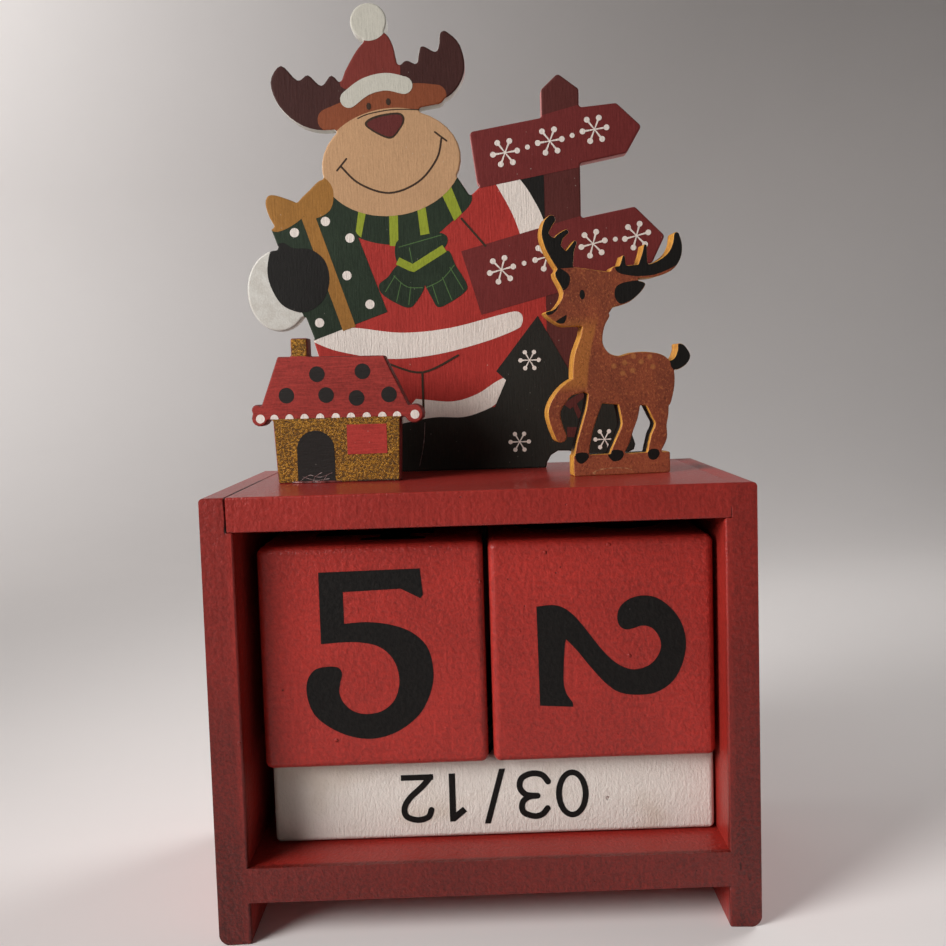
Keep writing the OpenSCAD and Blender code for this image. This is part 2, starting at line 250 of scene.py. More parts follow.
def joint_cracks(root, wander):
    """The joint at the top's left end has opened; those at its right end and at the shelf show as hairlines."""
    x, y, z = xyz(root)
    wobble = wander * 0.4 - 0.2
    top, shelf = z.step(*TOP_BOARD), z.step(*SHELF_FACE) * z.step(*SHELF_UNDERSIDE)
    broken, patches = 0.4 + wander.step(0.4, 0.55) * 0.6, wander.step(0.5, 0.62)
    open_joint = (x + TOP_JOINT + wobble).size().step(0.26, 0.1) * top * y.step(*JOINT_FRONT) * broken
    hairline = (x - TOP_JOINT + wobble).size().step(0.16, 0.05) * top
    ends = (x.size() - SHELF_JOINT + wobble).size().step(0.2, 0.06) * shelf
    return open_joint + hairline * patches * 0.7 + ends * patches * 0.8


def bar_white_paint():
    """Off-white paint with the stipple of the roller and the grain under it, brown chips and stains, and painted
    shade over its left end, where the left post's shadow falls.
    """
    def sockets(root):
        streaks = grain(root, place(root, 2.8, 2.8, 0.35), 3, 0.6)
        fine = grain(root, place(root, 2.4, 2.4, 1.7), 3, 0.65)
        stain = grain(root, place(root, 0.06, 0.06, 0.1), 2).step(0.5, 0.75)
        chips = flecks(root, place(root, 0.19, 0.19, 0.22)).step(0.085, 0.05)
        colour = blend(root, streaks * 0.4 + fine * 0.6, paint(216, 206, 196), paint(246, 237, 228))
        colour = blend(root, stain * 0.45, colour, paint(196, 176, 152))
        # Painted shade over the left end, where the left post's shadow falls
        colour = blend(root, along(root, "X").step(*SHADED_BAR_END) * 0.62, colour, paint(150, 144, 126))
        colour = blend(root, chips * fine.step(0.42, 0.55), colour, paint(112, 72, 56))
        return {"Base Color": colour, "Roughness": 0.5 + fine * 0.2, "Specular IOR Level": 0.35,
                "Normal": relief(root, streaks * 0.4 + fine * 0.8 - chips, 0.2)}
    return finish("bar_white_paint", sockets)


def numeral_black():
    """Black paint pulled through a stencil, with lint and pinholes."""
    def sockets(root):
        fine = grain(root, place(root, 1.6, 1.6, 1.4), 3, 0.6)
        lint = flecks(root, place(root, 0.24, 0.24, 0.24)).step(0.03, 0.012)
        colour = blend(root, fine.step(0.3, 0.7), paint(20, 18, 17), paint(29, 26, 24))
        colour = blend(root, lint * 0.6, colour, paint(150, 144, 138))
        return {"Base Color": colour, "Roughness": 0.5 + fine * 0.2, "Specular IOR Level": 0.15,
                "Normal": relief(root, fine, 0.14)}
    return finish("numeral_black", sockets)


UPRIGHT, LEVEL = (3.2, 3.2, 0.3), (0.25, 3.2, 3.6)


def printed(name, colour, mottle=0.1, lie=UPRIGHT, depth=0.1, dust=0.5):
    """A flat colour printed on plywood: the grain shows through, upright or level, with small bare specks."""
    def sockets(root):
        strands = grain(root, place(root, *lie), 3, 0.65)
        fine = grain(root, place(root, 2.3, 2.3, 2.0), 3, 0.7)
        cloud = grain(root, place(root, 0.12, 0.12, 0.08), 2)
        specks = flecks(root, place(root, dust, dust, dust * 0.84)).step(0.075, 0.04)
        dark = tuple(c * (1 - 2.2 * mottle) for c in colour[:3]) + (1.0,)
        light = tuple(min(1.0, c * (1 + mottle) + 0.004) for c in colour[:3]) + (1.0,)
        shade = strands.step(0.3, 0.7) * 0.4 + cloud.step(0.3, 0.7) * 0.25 + fine.step(0.3, 0.7) * 0.35
        base = blend(root, shade, dark, light)
        base = blend(root, specks * fine.step(0.5, 0.6) * 0.45, base, paint(188, 180, 168))
        return {"Base Color": base, "Roughness": 0.55 + fine * 0.2, "Specular IOR Level": 0.18,
                "Normal": relief(root, strands * 0.6 + fine * 0.4, depth)}
    return finish(name, sockets)


def gold_glitter():
    """Gold foil crumbs pressed on the cottage walls, with brown gaps between them and a painted shadow line along the
    right part of the foot, where the cottage stands clear of the top.
    """
    def sockets(root):
        crumbs = flecks(root, place(root, 2.8, 2.8, 3.5), "Color")
        worms = grain(root, place(root, 2.3, 2.3, 3.1), 3, 0.7)
        gaps = worms.step(0.52, 0.43)
        tint = root.node("ShaderNodeSeparateColor", None, {"Color": crumbs})
        # Painted shadow: a dark line along the right part of the wall's foot, where it stands clear of the top
        foot = along(root, "Z").step(*WALL_SHADOW_LINE) * along(root, "X").step(*WALL_SHADOW_RIGHT)
        colour = blend(root, tint, paint(122, 80, 24), paint(170, 120, 34))
        colour = blend(root, gaps * 0.8, colour, paint(66, 43, 18))
        colour = blend(root, foot * 0.9, colour, paint(36, 27, 24))
        return {"Base Color": colour, "Metallic": 0.35 - gaps * 0.3, "Roughness": 0.36 + gaps * 0.3,
                "Specular IOR Level": 0.25, "Normal": relief(root, worms * 1.2 + tint * 0.25, 0.22)}
    return finish("gold_glitter", sockets)


def soft_spot(root, x, z, radius):
    """A round spot that fades out, at a place seen from the front in millimetres."""
    away = root.node("ShaderNodeVectorMath", {"operation": "LENGTH"},
                     {0: root.node("ShaderNodeVectorMath", {"operation": "MULTIPLY_ADD"},
                                   {0: place(root), 1: (1, 0, 1), 2: (-x, 0, -z)})}, "Value")
    return away.step(radius, radius * 0.4)


def speckled_deer():
    """Brown print with fine pale speckles, like cork: painted light on its foot, a lighter chest and faint spots on
    the back.
    """
    def sockets(root):
        fine = grain(root, place(root, 2.4, 2.4, 2.1), 3, 0.75)
        cloud = grain(root, place(root, 0.2, 0.2, 0.14), 2)
        x, z = along(root, "X"), along(root, "Z")
        breast = CHEST_LINE + (z - CHEST_LOWEST) ** 2 * CHEST_BEND
        chest = (breast - x).step(*CHEST_EDGE) * z.step(*CHEST_TOP) * z.step(*CHEST_FOOT)
        spots = sum(soft_spot(root, *spot, DEER_SPOT_RADIUS) for spot in DEER_SPOTS)
        colour = blend(root, cloud.step(0.3, 0.7), paint(126, 61, 40), paint(146, 72, 45))
        # Painted light: the foot is lighter
        colour = blend(root, z.step(*LIT_DEER_FOOT) * 0.4, colour, paint(172, 90, 62))
        colour = blend(root, chest * 0.9, colour, paint(172, 104, 48))
        colour = blend(root, fine.step(0.53, 0.66) * 0.6, colour, paint(186, 110, 64))
        colour = blend(root, fine.step(0.45, 0.32) * 0.6, colour, paint(76, 35, 23))
        colour = blend(root, spots * 0.5, colour, paint(188, 122, 66))
        return {"Base Color": colour, "Roughness": 0.46 + fine * 0.25, "Specular IOR Level": 0.3,
                "Normal": relief(root, fine, 0.1)}
    return finish("deer_brown", sockets)


def sawn_edge(name, colour, dark, mark=None):
    """Painted plywood edge and back, rubbed along the plies; mark(root, colour, fine) may colour a part of it."""
    def sockets(root):
        plies = grain(root, place(root, 0.4, 3.0, 0.4), 3, 0.6)
        fine = grain(root, place(root, 2.6, 2.6, 2.6), 3, 0.6)
        rubbed = blend(root, plies.step(0.35, 0.7) * 0.6 + fine.step(0.4, 0.7) * 0.4, dark, colour)
        return {"Base Color": mark(root, rubbed, fine) if mark else rubbed, "Roughness": 0.5 + fine * 0.2,
                "Normal": relief(root, plies * 0.6 + fine * 0.6, 0.1)}
    return finish(name, sockets)


def shaded_leg_gaps(root, colour, fine):
    """Painted shade: black on the edge walls in the gaps between the deer's legs, behind the front arris, where the
    legs shadow one another, and not on the back.
    """
    x, y, z = xyz(root)
    c, s = math.cos(DEER_TURN), math.sin(DEER_TURN)
    across, behind = x * c + y * s, y * c - x * s + DEER_FACE
    (left, right), (top, foot) = LEG_GAPS_ACROSS, LEG_GAPS_UP
    gaps = across.step(*left) * across.step(*right) * z.step(*top) * z.step(*foot)
    # Painted shade on the gap walls behind the front arris
    gap_shade = gaps * (behind + fine).step(*DEER_FRONT_ARRIS) * behind.step(*DEER_BEFORE_BACK)
    return blend(root, gap_shade, colour, paint(33, 29, 26))


def signpost_bleed(root, colour, _):
    """The signpost's red, thinned to pink on the sawn edge and not on the back."""
    x, y, z = xyz(root)
    bled = x.step(*SIGN_RIGHTWARDS) * z.step(*SIGN_UPWARDS) * y.step(*SIGN_BEFORE_BACK)
    return blend(root, bled, colour, paint(178, 112, 108))


def painted_steel():
    """Steel nail heads with the frame's paint worn through on the high spots."""
    def sockets(root):
        fine = grain(root, place(root, 3, 3, 3), 3, 0.6)
        bare = grain(root, place(root, 1.1, 1.1, 1.1), 2).step(0.52, 0.6)
        return {"Base Color": blend(root, bare, paint(138, 44, 38), paint(150, 148, 144)), "Metallic": bare,
                "Roughness": 0.36 + fine * 0.2, "Normal": relief(root, fine, 0.06)}
    return finish("painted_steel", sockets)


def dried_glue(name, tones):
    """A glossy trace of dried glue."""
    def sockets(root):
        fine = grain(root, place(root, 1.2, 1.2, 1.2), 2)
        return {"Base Color": blend(root, fine.step(0.35, 0.65), *tones), "Roughness": 0.22 + fine * 0.2,
                "Normal": relief(root, fine, 0.2)}
    return finish(name, sockets)


def studio_paper(name, colour):
    """Matt paper with faint clouds."""
    def sockets(root):
        fine = grain(root, place(root, 0.02, 0.02, 0.02), 3)
        dark = tuple(c * 0.97 for c in colour[:3]) + (1.0,)
        return {"Base Color": blend(root, fine, dark, colour), "Roughness": 0.9}
    return finish(name, sockets)


# The frame's second pair of tones is the painted shade of its lower front and posts
FRAME_RED = red_paint("frame_red", (paint(132, 35, 28), paint(162, 43, 35)), (0.9, 0.9, 0.25), 0.15, 0.07,
                      (paint(66, 19, 15), paint(114, 31, 24)), joint_cracks)
CUBE_RED = red_paint("cube_red", (paint(132, 36, 30), paint(184, 50, 41)), (0.7, 0.7, 0.4), 0.19, 0.0)
BAR_WHITE = bar_white_paint()
NUMERAL_BLACK = numeral_black()
BOARD_WHITE = sawn_edge("board_white", paint(206, 203, 195), paint(186, 180, 170), signpost_bleed)
COTTAGE_EDGE = sawn_edge("cottage_edge_red", paint(146, 42, 36), paint(96, 32, 27))
# The deer's edge carries painted shade in the gaps between its legs
DEER_EDGE = sawn_edge("deer_edge_gold", paint(218, 160, 58), paint(158, 98, 34), shaded_leg_gaps)
ANTLER_BROWN = printed("antler_brown", paint(62, 30, 26))
COAT_RED = printed("coat_red", paint(167, 48, 41), 0.13, depth=0.14)
# Painted shade: the hat's red is a darker copy of the coat's red
HAT_RED = printed("hat_red", paint(117, 45, 37))
FUR_WHITE = printed("fur_white", paint(224, 212, 202), 0.07, depth=0.2)
# Painted shade: the hat's white is a darker copy of the fur's white
HAT_WHITE = printed("hat_white", paint(192, 187, 174), 0.06)
FACE_BROWN = printed("face_brown", paint(131, 68, 40))
MUZZLE_TAN = printed("muzzle_tan", paint(186, 145, 107), 0.08)
NOSE_CHESTNUT = printed("nose_chestnut", paint(96, 38, 35))
LINE_BROWN = printed("line_brown", paint(58, 41, 29))
SCARF_GREEN = printed("scarf_green", paint(36, 48, 33), 0.18, dust=0.8)
SCARF_LIME = printed("scarf_lime", paint(142, 152, 44))
FRINGE_GREEN = printed("fringe_green", paint(74, 102, 58))
RIBBON_OCHRE = printed("ribbon_ochre", paint(152, 104, 46), 0.13)
MITTEN_BLACK = printed("mitten_black", paint(24, 21, 18))
SIGN_MAROON = printed("sign_maroon", paint(108, 38, 36))
POST_MAROON = printed("post_maroon", paint(84, 36, 32))
TREE_BLACK = printed("tree_black", paint(36, 34, 29), dust=0.85)
GOLD_GLITTER = gold_glitter()
ROOF_RED = printed("roof_red", paint(150, 48, 41), 0.24, LEVEL)
WINDOW_RED = printed("window_red", paint(168, 52, 45), 0.16, LEVEL)
DOOR_BLACK = printed("door_black", paint(32, 27, 24), 0.1, LEVEL)
DEER_BROWN = speckled_deer()
STEEL = painted_steel()
DEER_GLUE = dried_glue("deer_glue", (paint(140, 82, 56), paint(186, 128, 88)))
COTTAGE_GLUE = dried_glue("cottage_glue", (paint(112, 84, 80), paint(166, 146, 142)))
GLUE_BEAD = dried_glue("glue_bead", (paint(74, 36, 34), paint(124, 62, 58)))


# Drawing

CURVE_STEPS, CAP_STEPS = 6, 8


def smooth(points, closed=True):
    """A curve through points by way of their neighbours; a point written twice is a corner."""
    count = len(points)
    path = []
    for i in range(count if closed else count - 1):
        near = [points[(i + k) % count] if closed else points[min(max(i + k, 0), count - 1)]
                for k in (-1, 0, 1, 2)]
        if near[1] == near[2]:
            continue
        for t in (step / CURVE_STEPS for step in range(CURVE_STEPS)):
            path.append(tuple(
                b + t * ((c - a) / 2 + t * (a - 2.5 * b + 2 * c - d / 2 + t * (1.5 * (b - c) + (d - a) / 2)))
                for a, b, c, d in zip(*near)))
    return path if closed else path + [tuple(points[-1])]


def turned(points, x, y, turn):
    """Points about the origin, turned by degrees and moved to (x, y)."""
    c, s = math.cos(math.radians(turn)), math.sin(math.radians(turn))
    return [(x + u * c - v * s, y + u * s + v * c) for u, v in points]


def ellipse(x, y, wide, tall, turn=0.0, count=36):
    """An ellipse about (x, y), by its half sizes and its turn in degrees."""
    angles = (2 * math.pi * i / count for i in range(count))
    return turned([(wide * math.cos(a), tall * math.sin(a)) for a in angles], x, y, turn)


def disc(x, y, radius, count=24):
    return ellipse(x, y, radius, radius, 0, count)


def half_round(x, y, wide, tall, count):
    """The upper half of an ellipse, from its right end to its left one."""
    angles = (math.pi * k / count for k in range(count + 1))
    return [(x + wide * math.cos(a), y + tall * math.sin(a)) for a in angles]


def stroke(stations, round_ends=True):
    """The outline of a brush stroke through stations of (x, y, half width)."""
    line = smooth(stations, False)
    left, right, angles = [], [], []
    for i, (x, y, half) in enumerate(line):
        (x0, y0, _), (x1, y1, _) = line[max(i - 1, 0)], line[min(i + 1, len(line) - 1)]
        angle = math.atan2(y1 - y0, x1 - x0)
        angles.append(angle)
        left.append((x - half * math.sin(angle), y + half * math.cos(angle)))
        right.append((x + half * math.sin(angle), y - half * math.cos(angle)))

    def cap(station, start):
        x, y, half = station
        turns = (start - math.pi * k / CAP_STEPS for k in range(1, CAP_STEPS)) if round_ends else ()
        return [(x + half * math.cos(a), y + half * math.sin(a)) for a in turns]
    return left + cap(line[-1], angles[-1] + math.pi / 2) + right[::-1] + cap(line[0], angles[0] - math.pi / 2)


def pen(points, half, round_ends=True):
    """A line of even width through points."""
    return stroke([(x, y, half) for x, y in points], round_ends)


def snowflake(x, y, size, turn=0.0):
    """Six thin arms with a ball on each end, as one outline."""
    arm, ball = 0.045 * size, 0.24 * size
    root = 2.1 * arm
    bends = (math.radians(d) for d in range(-160, 161, 32))
    branch = [(root, -arm), *((size + ball * math.cos(a), ball * math.sin(a)) for a in bends), (root, arm)]
    return [spot for k in range(6) for spot in turned(branch, x, y, 60 * k + turn)]


def turned_box(x, y, wide, tall, turn):
    """A rectangle about (x, y), turned by degrees."""
    w, t = wide / 2, tall / 2
    return turned([(-w, -t), (w, -t), (w, t), (-w, t)], x, y, turn)


def inset(loop, depth):
    """Moves an outline inwards; it runs with its inside on its left."""
    moved = []
    for i, (x, y) in enumerate(loop):
        (x0, y0), (x1, y1) = loop[i - 1], loop[(i + 1) % len(loop)]
        before, after = math.atan2(y - y0, x - x0), math.atan2(y1 - y, x1 - x)
        nx, ny = -math.sin(before) - math.sin(after), math.cos(before) + math.cos(after)
        share = max(nx * nx + ny * ny, 1.0)
        moved.append((x + 2 * depth * nx / share, y + 2 * depth * ny / share))
    return moved


# Solids

# Millimetres: how deep a film starts in its piece, how thick each one is, the shortest steps that count
FILM_ROOT, PRINT_FILM, NUMERAL_FILM = 0.05, 0.02, 0.05
OUTLINE_STEP, SAME_SPOT, SHORT_EDGE = 0.04, 0.001, 2.5
# The flat ring beside a rounded arris, in its radii; the steepest turns that are shaded smooth, in degrees
FLAT_RING = 1.4
SMOOTH_ANGLE, BEAD_SMOOTH_ANGLE = 40, 60


def as_mesh(made, name):
    """The finished drawing of a solid as a mesh."""
    mesh = bpy.data.meshes.new(name)
    made.to_mesh(mesh)
    made.free()
    return mesh


def rounded_solid(loops, low, high, rounding):
    """A closed mesh between two heights with its arrises rounded; an outline within another one is a hole in it."""
    bends = [math.radians(a) for a in (0, 30, 60, 90)]
    steps = [(FLAT_RING * rounding, 0)]
    steps += [(rounding * (1 - math.sin(a)), rounding * (1 - math.cos(a))) for a in bends]
    rings = [(depth, high - drop) for depth, drop in steps] + [(depth, low + drop) for depth, drop in steps[::-1]]
    solid = bmesh.new()
    made = [[[solid.verts.new((x, y, z)) for x, y in inset(loop, depth)] for loop in loops] for depth, z in rings]
    for upper, lower in zip(made, made[1:]):
        for above, below in zip(upper, lower):
            for i in range(len(above)):
                solid.faces.new((above[i - 1], below[i - 1], below[i], above[i]))
    for ring in (made[0], made[-1]):
        corners = [vert for loop in ring for vert in loop]
        for triangle in tessellate_polygon([[vert.co for vert in loop] for loop in ring]):
            solid.faces.new([corners[i] for i in triangle])
    bmesh.ops.recalc_face_normals(solid, faces=solid.faces)
    return as_mesh(solid, "rounded_solid")


def covered(spots, loops):
    """Which spots lie within a shape: an outline, less the holes in it."""
    x, y = spots[:, :1], spots[:, 1:]
    within = np.zeros(len(spots), bool)
    for loop in loops:
        (ax, ay), (bx, by) = np.array(loop).T, np.roll(loop, -1, 0).T
        left = (bx - ax) * (y - ay) - (by - ay) * (x - ax)
        upward, downward = (ay <= y) & (by > y) & (left > 0), (ay > y) & (by <= y) & (left < 0)
        within ^= upward.sum(1) != downward.sum(1)
    return within


def triangles_between(loops):
    """Triangles that keep to the lines of loops: the places of all corners, and each triangle's three."""
    spots, edges = [], []
    for loop in loops:
        first, count = len(spots), len(loop)
        spots += [Vector(spot) for spot in loop]
        edges += [(first + i, first + (i + 1) % count) for i in range(count)]
    spots, _, triangles, *_ = delaunay_2d_cdt(spots, edges, [], 0, SAME_SPOT)
    return np.array(spots), np.array(triangles)


def rims(faces):
    """The loops round a flat patch of faces, each a list of its corners' places."""
    edges = {pair for face in faces for pair in zip(face, [*face[1:], face[0]])}
    follow = {a: b for a, b in edges if (b, a) not in edges}
    loops = []
    while follow:
        spot, loop = min(follow), []
        while spot in follow:
            if not loop or math.dist(spot, loop[-1]) > OUTLINE_STEP:
                loop.append(spot)
            spot = follow.pop(spot)
        loops.append(loop)
    return loops


def film(shapes, height, limits=None, rings=(), drop=None):
    """A thin closed mesh of shapes laid on a face, within limits, sunk by the drop at each spot.
    A shape is an outline, or a list of an outline and the holes in it."""
    shapes = [shape if isinstance(shape[0][0], tuple) else [shape] for shape in shapes]
    spots, triangles = triangles_between([*(loop for shape in shapes for loop in shape), *rings])
    middles = spots[triangles].mean(1)
    kept = np.any([covered(middles, shape) for shape in shapes], 0)
    if limits:
        kept &= covered(middles, limits)
    sunk = drop(spots) if drop else np.zeros(len(spots))
    sheet = bmesh.new()
    corners = [sheet.verts.new((x, y, -FILM_ROOT - depth)) for (x, y), depth in zip(spots, sunk)]
    for triangle in triangles[kept]:
        sheet.faces.new([corners[i] for i in triangle])
    bmesh.ops.delete(sheet, geom=[vert for vert in sheet.verts if not vert.link_faces], context="VERTS")
    lifted = bmesh.ops.extrude_face_region(sheet, geom=sheet.faces[:], use_keep_orig=True)["geom"]
    upper = [part for part in lifted if isinstance(part, bmesh.types.BMVert)]
    bmesh.ops.translate(sheet, verts=upper, vec=(0, 0, FILM_ROOT + height))
    bmesh.ops.recalc_face_normals(sheet, faces=sheet.faces)
    return as_mesh(sheet, "film")


def show(name, mesh, matrix, material, body, smooth_angle=None):
    """Puts a mesh in the scene, in its finish and on its body."""
    mesh.transform(matrix)
    mesh.materials.clear()
    mesh.materials.append(material)
    mesh.name = name
    mesh.polygons.foreach_set("use_smooth", [bool(smooth_angle)] * len(mesh.polygons))
    if smooth_angle:
        mesh.set_sharp_from_angle(angle=math.radians(smooth_angle))
    piece = bpy.data.objects.new(name, mesh)
    bpy.context.scene.collection.objects.link(piece)
    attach(piece, body)
    return piece


FRONT_FACING, FOOT_REACH = -0.9, 0.01


class Board:
    """A plywood cut-out: its outline and place are the CAD piece's, and print is laid on its face. Its wrap
    is how many degrees of the rounded edge the print covers."""

    def __init__(self, node, foot_middle, material, slot, easing, wrap, skirt=None):
        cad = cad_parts[node].data
        front = [p for p in cad.polygons if p.normal.y < FRONT_FACING]
        out = sum((p.normal * p.area for p in front), Vector()).normalized()
        across = Vector((-out.y, out.x, 0))
        foot = min(v.co.z for v in cad.vertices)
        reach = max(v.co.dot(out) for v in cad.vertices)
        back = min(v.co.dot(out) for v in cad.vertices)
        standing = [v.co.dot(across) for v in cad.vertices if v.co.z < foot + FOOT_REACH * MM]
        middle = (min(standing) + max(standing)) / 2 - foot_middle * MM
        turn = Matrix((across, UP, out)).transposed().to_4x4()
        self.face = Matrix.Translation(across * middle + out * reach + UP * foot) @ turn @ Matrix.Scale(MM, 4)
        self.name, self.slot = node, slot
        self.loops, self.easing = self.outline(cad, front, skirt), easing
        depths = [easing * (1 - math.sin(math.radians(a))) for a in (wrap, wrap / 2, 0)] + [FLAT_RING * easing]
        self.rings = [inset(loop, depth) for depth in depths for loop in self.loops]
        self.limits = self.rings[:len(self.loops)]
        solid = rounded_solid(self.loops, (back - reach) / MM, 0, easing)
        self.piece = show(node.replace("_cutout", "_board"), solid, self.face, material, "frame", SMOOTH_ANGLE)
        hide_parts(node)

    def outline(self, cad, front, skirt):
        """The loops round the front face, and round a skirt added to it, in the drawing's millimetres."""
        flat = self.face.inverted()
        spot = [tuple(round(c, 4) for c in (flat @ v.co)[:2]) for v in cad.vertices]
        loops = rims([[spot[i] for i in p.vertices] for p in front])
        if skirt:
            spots, triangles = triangles_between([*loops, skirt])
            middles = spots[triangles].mean(1)
            kept = triangles[covered(middles, loops) | covered(middles, [skirt])]
            loops = rims([[tuple(corner) for corner in spots[triangle]] for triangle in kept])
        return loops

    def drop(self, spots):
        """How far the rounded edge has fallen away at each spot of the face."""
        away = np.full(len(spots), np.inf)
        for loop in self.loops:
            run = np.roll(loop, -1, 0) - loop
            offset = spots[:, None] - np.array(loop)
            share = np.clip((offset * run).sum(2) / (run ** 2).sum(1), 0, 1)
            away = np.minimum(away, np.linalg.norm(offset - share[..., None] * run, axis=2).min(1))
        return self.easing - np.sqrt(self.easing ** 2 - np.clip(self.easing - away, 0, self.easing) ** 2)

    def lay(self, name, material, level, *shapes):
        """Prints shapes of one colour on the face, one film over another, and part of the way round its edge."""
        mesh = film(shapes, PRINT_FILM * level, self.limits, self.rings, self.drop)
        show(self.name.replace("cutout", name), mesh, self.face, material, "frame", SMOOTH_ANGLE)


# Frame, cubes and bars

FRAME_EASING, BACK_EASING = 0.35, 0.2
FLAT_ANGLE, ARRIS_ANGLE = math.radians(0.5), 0.6
JOINT_REACH = 0.1


def shade_evenly(piece):
    """Keeps flat sides flat beside their rounded arrises."""
    piece.modifiers.new("even", "WEIGHTED_NORMAL").keep_sharp = True


def painted(node, material):
    """Paints a CAD piece as it is, with its flat sides shaded flat."""
    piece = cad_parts[node]
    piece.data.materials.clear()
    piece.data.materials.append(material)
    weld = piece.modifiers.new("weld", "WELD")
    weld.merge_threshold = SAME_SPOT * MM
    flats = piece.modifiers.new("flats", "DECIMATE")
    flats.decimate_type, flats.angle_limit = "DISSOLVE", FLAT_ANGLE
    shade_evenly(piece)


def filled_joint(x):
    """Whether a joint that the paint has filled lies here: all but the one at the top's left end."""
    return abs(x - TOP_JOINT) < JOINT_REACH or abs(abs(x) - SHELF_JOINT) < JOINT_REACH


def sawn_board(node, easing):
    """A board of the frame: the CAD piece with its long edges rounded over, as sanding and paint do."""
    board = bmesh.new()
    board.from_mesh(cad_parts[node].data)
    bmesh.ops.remove_doubles(board, verts=board.verts, dist=SAME_SPOT * MM)
    bmesh.ops.dissolve_limit(board, angle_limit=FLAT_ANGLE, verts=board.verts, edges=board.edges)
    arrises = [e for e in board.edges
               if e.calc_length() > SHORT_EDGE * MM and e.calc_face_angle_signed(0) > ARRIS_ANGLE
               and not all(filled_joint(v.co.x / MM) for v in e.verts)]
    bmesh.ops.bevel(board, geom=arrises, offset=easing * MM, segments=3, profile=0.5, affect="EDGES")
    name = node.replace("panel", "board").replace("bottom_shelf", "shelf_board")
    piece = show(name, as_mesh(board, node), Matrix(), FRAME_RED, "frame", SMOOTH_ANGLE)
    shade_evenly(piece)
    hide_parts(node)


